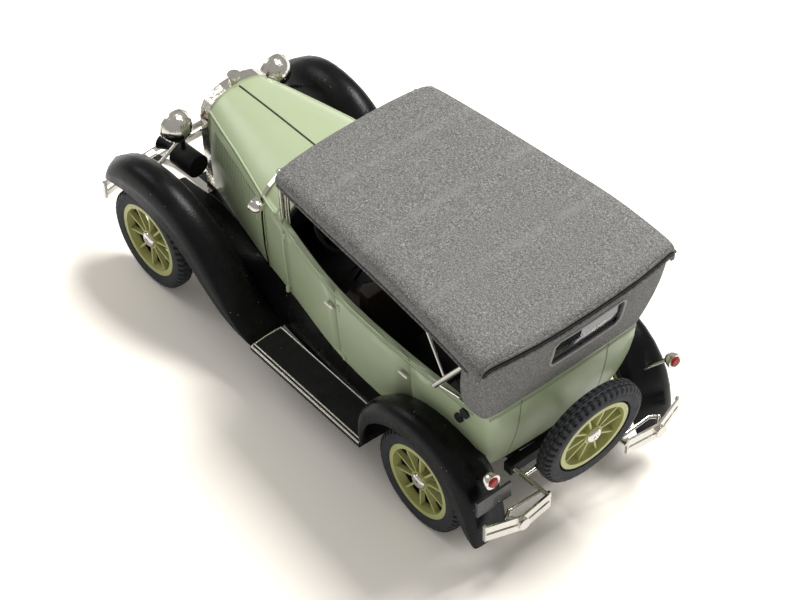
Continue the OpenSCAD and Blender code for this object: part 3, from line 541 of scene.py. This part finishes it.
spare_place = (Matrix.Translation(Vector((-43.89, 0, 19.43)) * MM)
               @ Matrix.Rotation(math.radians(-90 - 9), 4, "Y"))
spare_size = Matrix.Diagonal((8.7 / 8.25, 8.7 / 8.25, 1, 1))
for wheel in WHEELS:
    one = copied(tyre, "tread_" + wheel, wheel_place(wheel))
    declare(one, "wheel_" + wheel, "rubber")
    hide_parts("tyre_" + wheel)
one = copied(tyre, "tread_spare", spare_place @ spare_size)
declare(one, CAR, "rubber")
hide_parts("spare_tyre")
bpy.data.objects.remove(tyre)

# %% [markdown]
# ## Hub caps and brake drums
#
# A bright domed cap closes each hub. Behind the spokes stand a small black drum and a black ring of painted
# shade that darkens the inside of the rim. All are lathe shapes.

# %% Caps and drums
CAP = [(0, 1.5), (0.4, 1.48), (0.42, 1.4), (0.8, 1.36), (1.1, 1.2), (1.25, 0.98), (1.25, 0.88)]
DRUM = [(1.3, -1.2), (1.3, -0.98), (2.2, -0.98), (2.3, -1.06), (2.6, -1.06), (2.6, -1.3), (1.3, -1.3)]
# A black ring inside the rim: painted shade for the inside of the rim behind the spokes.
RIM_SHADE_RING = [(4.95, -0.3), (5.16, -0.25), (5.16, -1.15), (4.95, -1.15), (4.9, -0.75)]
cap = lathe("cap", CAP, 32)
drum = lathe("drum", DRUM + DRUM[:1], 48)
rim_shade_ring = lathe("rim_shade_ring", RIM_SHADE_RING + RIM_SHADE_RING[:1], 64)
for wheel in WHEELS:
    declare(copied(cap, "hub_cap_" + wheel, wheel_place(wheel)), "wheel_" + wheel, "bright_metal")
    declare(copied(drum, "drum_" + wheel, wheel_place(wheel)), "wheel_" + wheel, "black_paint")
    declare(copied(rim_shade_ring, "rim_shade_ring_" + wheel, wheel_place(wheel)), "wheel_" + wheel, "black_paint")
declare(copied(cap, "hub_cap_spare", spare_place), CAR, "bright_metal")
bpy.data.objects.remove(cap)
bpy.data.objects.remove(drum)
bpy.data.objects.remove(rim_shade_ring)

# %% [markdown]
# ## Beads that lie on a surface
#
# Beads, hinges and trims are thin rods that follow a panel. Each is a curve
# with a round section, turned into a mesh. Where a bead must lie on a panel,
# a ray is sent against the CAD node and the bead takes the point that it hits.

# %% Bead helpers
surfaces = {}


def touch(node, start, way):
    """The point in mm where a ray from start meets a CAD node, or None."""
    if node not in surfaces:
        mesh = nodes[node].data
        surfaces[node] = BVHTree.FromPolygons([corner.co for corner in mesh.vertices],
                                              [list(face.vertices) for face in mesh.polygons])
    point = surfaces[node].ray_cast(Vector(start) * MM, Vector(way).normalized())[0]
    return tuple(point / MM) if point else None


def beads(name, lines, radius, slot, body=CAR, finish=None, both=False, closed=False):
    """One piece of round rods through lists of points in mm, mirrored if both."""
    bpy.ops.object.select_all(action="DESELECT")
    bpy.ops.curve.primitive_nurbs_path_add()
    rod = bpy.context.object
    rod.name = name
    rod.data.splines.clear()
    if both:
        lines = lines + [[(x, -y, z) for x, y, z in line] for line in lines]
    for line in lines:
        line = [point for point in line if point]
        spline = rod.data.splines.new("POLY")
        spline.points.add(len(line) - 1)
        for knot, point in zip(spline.points, line):
            knot.co = (*(Vector(point) * MM), 1)
        spline.use_cyclic_u = closed
    rod.data.bevel_depth = radius * MM
    rod.data.bevel_resolution = 2
    rod.data.use_fill_caps = True
    bpy.ops.object.convert(target="MESH")
    bpy.ops.object.shade_smooth_by_angle(angle=math.radians(50))
    return declare(bpy.context.object, body, slot, finish)


def between(points, count):
    """Points spaced along a broken line, count to each part."""
    line = []
    for a, b in zip(points, points[1:]):
        line += [tuple(Vector(a).lerp(Vector(b), k / count)) for k in range(count)]
    return line + [points[-1]]


# %% [markdown]
# ## The bonnet
#
# A piano hinge runs along the middle of the bonnet and one along each side, and each side has a long row of
# upright louvres. The middle hinge is drawn as a thin near-black rod of painted shade, and more rods of
# painted shade lie under the side hinges and in the gaps between the louvres. The louvre ribs touch the
# bonnet's side, so their points come from rays sent at it.

# %% Bonnet hinges and louvres
# Near-black finish for thin rods of painted shade in grooves and under raised beads.
painted_shade_line = new_finish("painted_shade_line", (0.02, 0.03, 0.015), 0, 0.5)
two_tone(painted_shade_line, 0.5, (0.015, 0.022, 0.012), (0.04, 0.055, 0.03))
bumps(painted_shade_line, 0.2, 0.01)
# The middle hinge is a thin near-black rod: painted shade in its groove.
middle = [touch("bonnet", (x, 0.02, 60), (0, 0, -1)) for x in (30.9, 28, 25, 22, 19, 16, 13.4)]
beads("bonnet_middle_groove_shade", [middle], 0.15, "body_paint", finish=painted_shade_line)
side = [(31.2, 5.3, 27.8), (27, 6.45, 27.9), (22, 7.7, 27.95), (17, 9.05, 27.8), (13.1, 10.05, 27.4)]
beads("bonnet_side_hinges", [between(side, 4)], 0.2, "body_paint", both=True)
# Rods of painted shade lie under the side hinges.
under = [(x, y + 0.12, z - 0.24) for x, y, z in between(side, 4)]
beads("bonnet_side_hinge_shade", [under], 0.08, "body_paint", both=True, finish=painted_shade_line)
LOUVRES = 26
LOUVRE_STEP = 0.54
LOUVRE_HEIGHTS = (20.6, 21.2, 23.0, 24.8, 25.4)


def up_the_side(x):
    """Points up the bonnet's left side, at one place along it."""
    return [touch("bonnet", (x, 30, z), (0, -1, 0)) for z in LOUVRE_HEIGHTS]


along = [15.4 + index * LOUVRE_STEP for index in range(LOUVRES)]
beads("louvre_ribs", [up_the_side(x) for x in along], 0.17, "body_paint", both=True)
# Rods of painted shade lie in the gaps between the louvre ribs.
louvre_shade_points = [up_the_side(x + LOUVRE_STEP / 2) for x in along]
beads("louvre_gap_shade", louvre_shade_points, 0.1, "body_paint", both=True, finish=painted_shade_line)
print("Louvres on each side:", LOUVRES)

# %% [markdown]
# ## The belt moulding
#
# A raised moulding runs from the cowl along the doors and round the back of the body, just below the top
# edge, with a thin rod of painted shade under it.

# %% Belt moulding
BELT = 26.55
belt = [touch("body_tub", (10 - step, 40, BELT), (0, -1, 0)) for step in range(47)]
belt += [touch("body_tub", (-60, y, BELT), (1, 0, 0)) for y in (13, 12.5, 12, 11, 10, 8, 6, 4, 2, 0)]
belt = [point for point in belt if point]
beads("belt_moulding", [belt], 0.17, "body_paint", both=True)
# A rod of painted shade under the moulding.
under = [(x, y + 0.02, z - 0.26) for x, y, z in belt]
beads("belt_shade_line", [under], 0.08, "body_paint", both=True, finish=painted_shade_line)
cowl = [(12.75, 10.15, 27.6), (11, 10.6, 27.45), (9.6, 10.85, 27.35), (8.9, 10.8, 27.5), (8.7, 10.45, 28.35),
        (8.9, 9.5, 29.4), (9, 7.5, 30.3), (9, 4, 30.85), (9, 0, 30.95)]
beads("cowl_moulding", [cowl], 0.17, "body_paint", both=True)

# %% [markdown]
# ## The top's piping and its rear window
#
# Two rows of piping run round the rear edge of the top, one just under the other, and a single row runs
# along each side. Near-black rods of painted shade lie in the gap between the rear rows and along the side
# row. The rear window is a dark pane in a pale frame.

# %% Piping
piping = new_finish("piping", (0.12, 0.115, 0.105), 0, 0.75)
threads = spread(piping, grain(piping, 0.3), 0.4, 0.6)
put(piping, "Base Color", colours(piping, threads, (0.07, 0.067, 0.062), (0.19, 0.18, 0.17)))
bumps(piping, 0.25, 0.05)
# Near-black finish for painted shade in the gaps along the piping.
painted_shade_black = new_finish("painted_shade_black", (0.012, 0.012, 0.012), 0, 0.7)
two_tone(painted_shade_black, 0.5, (0.01, 0.01, 0.01), (0.03, 0.03, 0.03))
bumps(painted_shade_black, 0.3, 0.02)
rim = [(-40.87, 17.2, 39.7), (-41.03, 16.6, 40.65), (-41.37, 15.4, 41.3), (-41.94, 12.9, 41.6),
       (-42.49, 8.6, 41.74), (-42.69, 4.3, 41.78), (-42.76, 0, 41.8)]
second = [(x - 0.06, y, z - 1.25) for x, y, z in rim[1:]]
beads("rear_piping", [rim, second], 0.24, "top_plastic", both=True, finish=piping)
# A rod of painted shade in the gap between the two rear rows.
gap = [(x - 0.1, y, z - 0.62) for x, y, z in rim[1:]]
beads("rear_piping_shade", [gap], 0.16, "top_plastic", both=True, finish=painted_shade_black)
EDGE = [(4, 38.6), (-1, 38.8), (-8, 38.95), (-15, 39.15), (-22, 39.35), (-29, 39.6), (-35, 39.4),
        (-39, 39.1)]
edge = [touch("roof", (x, 40, z), (0, -1, 0)) for x, z in EDGE]
edge = [point for point in edge if point]
beads("side_piping", [edge], 0.24, "top_plastic", both=True, finish=piping)
# A rod of painted shade along the side piping's upper edge.
gap = [(x, y, z + 0.34) for x, y, z in edge]
beads("side_piping_shade", [gap], 0.1, "top_plastic", both=True, finish=painted_shade_black)

# %% Rear window
dark_pane = new_finish("dark_pane", (0.012, 0.013, 0.016), 0, 0.08, Coat_Weight=0.6, Coat_Roughness=0.04)
two_tone(dark_pane, 1.4, (0.009, 0.01, 0.013), (0.02, 0.021, 0.026))
bumps(dark_pane, 4, 0.05, 1)
nodes["rear_window_glass"].data.materials.clear()
nodes["rear_window_glass"].data.materials.append(dark_pane)
frame_finish = new_finish("window_frame", (0.33, 0.32, 0.3), 0, 0.5)
two_tone(frame_finish, 0.6, (0.28, 0.27, 0.25), (0.42, 0.41, 0.38))
bumps(frame_finish, 0.3, 0.02)
LEFT, RIGHT, LOW, HIGH = 4.9, -7.3, 33.2, 38.4
MIDDLE_Y, MIDDLE_Z = -1.2, 35.8
outline = [
    (LEFT, LOW + 0.7), (LEFT, MIDDLE_Z), (LEFT, HIGH - 0.7), (LEFT - 0.2, HIGH - 0.2), (LEFT - 0.7, HIGH),
    (2, HIGH), (MIDDLE_Y, HIGH), (-4.5, HIGH),
    (RIGHT + 0.7, HIGH), (RIGHT + 0.2, HIGH - 0.2), (RIGHT, HIGH - 0.7), (RIGHT, MIDDLE_Z),
    (RIGHT, LOW + 0.7), (RIGHT + 0.2, LOW + 0.2), (RIGHT + 0.7, LOW),
    (-4.5, LOW), (MIDDLE_Y, LOW), (2, LOW), (LEFT - 0.7, LOW), (LEFT - 0.2, LOW + 0.2)]
ring = []
for y, z in outline:
    wide = MIDDLE_Y + (y - MIDDLE_Y) * 1.03
    tall = MIDDLE_Z + (z - MIDDLE_Z) * 1.06
    ring.append(touch("rear_curtain", (-60, wide, tall), (1, 0, 0)))
beads("rear_window_frame", [ring], 0.2, "top_plastic", finish=frame_finish, closed=True)
print("Window frame points:", len([point for point in ring if point]))

# %% [markdown]
# ## Bright trims
#
# The running boards have a double bright edge on the outside and a single
# one inside and in front. The windscreen stands on bright posts.

# %% Running-board trims and windscreen posts
top = 8.0
board = [[(-17.8, 18.55, top), (6.2, 18.55, top)], [(-17.8, 18.05, top + 0.1), (6.2, 18.05, top + 0.1)],
         [(-17.8, 13.15, top + 0.1), (6.2, 13.15, top + 0.1)],
         [(6.2, 13.15, top + 0.1), (6.3, 15.8, top + 0.1), (6.2, 18.55, top)]]
beads("running_board_trims", board, 0.17, "bright_metal", both=True)
posts = [[(6.9, 10.5, 27.4), (6.6, 10.8, 29.6), (4.9, 12.1, 38.6)],
         [(6.2, 10.55, 27.6), (5.9, 10.9, 29.8), (4.4, 12.1, 38.6)]]
beads("windscreen_posts", posts, 0.2, "bright_metal", both=True)

# %% [markdown]
# ## Lamp rims
#
# Each headlamp and cowl lamp has a rolled bright rim round its lens.

# %% Lamp rims
def rim_ring(middle, radius):
    """Points round an upright circle that faces forward."""
    x, y, z = middle
    turns = [k * math.pi / 16 for k in range(32)]
    return [(x, y + radius * math.cos(turn), z + radius * math.sin(turn)) for turn in turns]


beads("headlamp_rims", [rim_ring((34.85, 9.12, 24.9), 2.42)], 0.16, "bright_metal", both=True, closed=True)
beads("cowl_lamp_rims", [rim_ring((12.75, 11.7, 26.9), 0.95)], 0.11, "bright_metal", both=True, closed=True)

# %% [markdown]
# ## Pleated seats
#
# The two bench seats are hard mouldings that imitate pleated leather. Each is
# a block cut at every pleat, with the cuts pulled in, and then rounded by a
# subdivision surface.

# %% Seats
seat_finish = new_finish("seat_moulding", (0.03, 0.022, 0.017), 0, 0.45)
two_tone(seat_finish, 1.5, (0.024, 0.018, 0.014), (0.05, 0.036, 0.028), 3)
uneven_gloss(seat_finish, 0.8, 0.36, 0.55)
bumps(seat_finish, 0.2, 0.03, 3)


PLEATS = 9
PLEAT_DEPTH = 0.55


def pleated(name, low, high, pleats, way):
    """A pad from corner low to corner high in mm, with its pleats drawn in against way."""
    bpy.ops.object.select_all(action="DESELECT")
    middle = (Vector(low) + Vector(high)) / 2 * MM
    bpy.ops.mesh.primitive_cube_add(size=1, location=middle, scale=(Vector(high) - Vector(low)) * MM)
    bpy.ops.object.transform_apply(location=True, rotation=True, scale=True)
    pad = bpy.context.object
    pad.name = name
    width = high[1] - low[1]
    bpy.ops.object.mode_set(mode="EDIT")
    for cut in range(1, 2 * pleats):
        bpy.ops.mesh.select_all(action="SELECT")
        bpy.ops.mesh.bisect(plane_co=(0, (low[1] + width * cut / (2 * pleats)) * MM, 0), plane_no=(0, 1, 0))
    bpy.ops.object.mode_set(mode="OBJECT")
    for corner in pad.data.vertices:
        step = (corner.co.y / MM - low[1]) / width * 2 * pleats
        if round(step) % 2 == 0 and (corner.co - middle).dot(Vector(way)) > 0:
            corner.co -= Vector(way) * PLEAT_DEPTH * MM
    bevel = pad.modifiers.new("edge", "BEVEL")
    bevel.width = 0.25 * MM
    bevel.segments = 2
    bevel.limit_method = "ANGLE"
    bpy.ops.object.modifier_apply(modifier="edge")
    rounding = pad.modifiers.new("rounding", "SUBSURF")
    rounding.levels = 2
    rounding.render_levels = 2
    bpy.ops.object.modifier_apply(modifier="rounding")
    bpy.ops.object.shade_smooth_by_angle(angle=math.radians(60))
    return pad


for node in ("front_seat", "rear_seat"):
    low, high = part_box(node)
    low, high = Vector(low) / MM, Vector(high) / MM
    seat_top = low.z + 0.42 * (high.z - low.z)
    back_x = low.x + 0.3 * (high.x - low.x)
    for name, a, b, way in (
            ("_cushion", (back_x, low.y, low.z), (high.x, high.y, seat_top), (0, 0, 1)),
            ("_back", (low.x, low.y, low.z), (back_x - 0.05, high.y, high.z), (1, 0, 0))):
        pad = pleated(node + name, a, b, PLEATS, way)
        declare(pad, CAR, subparts[node]["material_slot"], seat_finish)
        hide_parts(node)
print("Seats: 2")
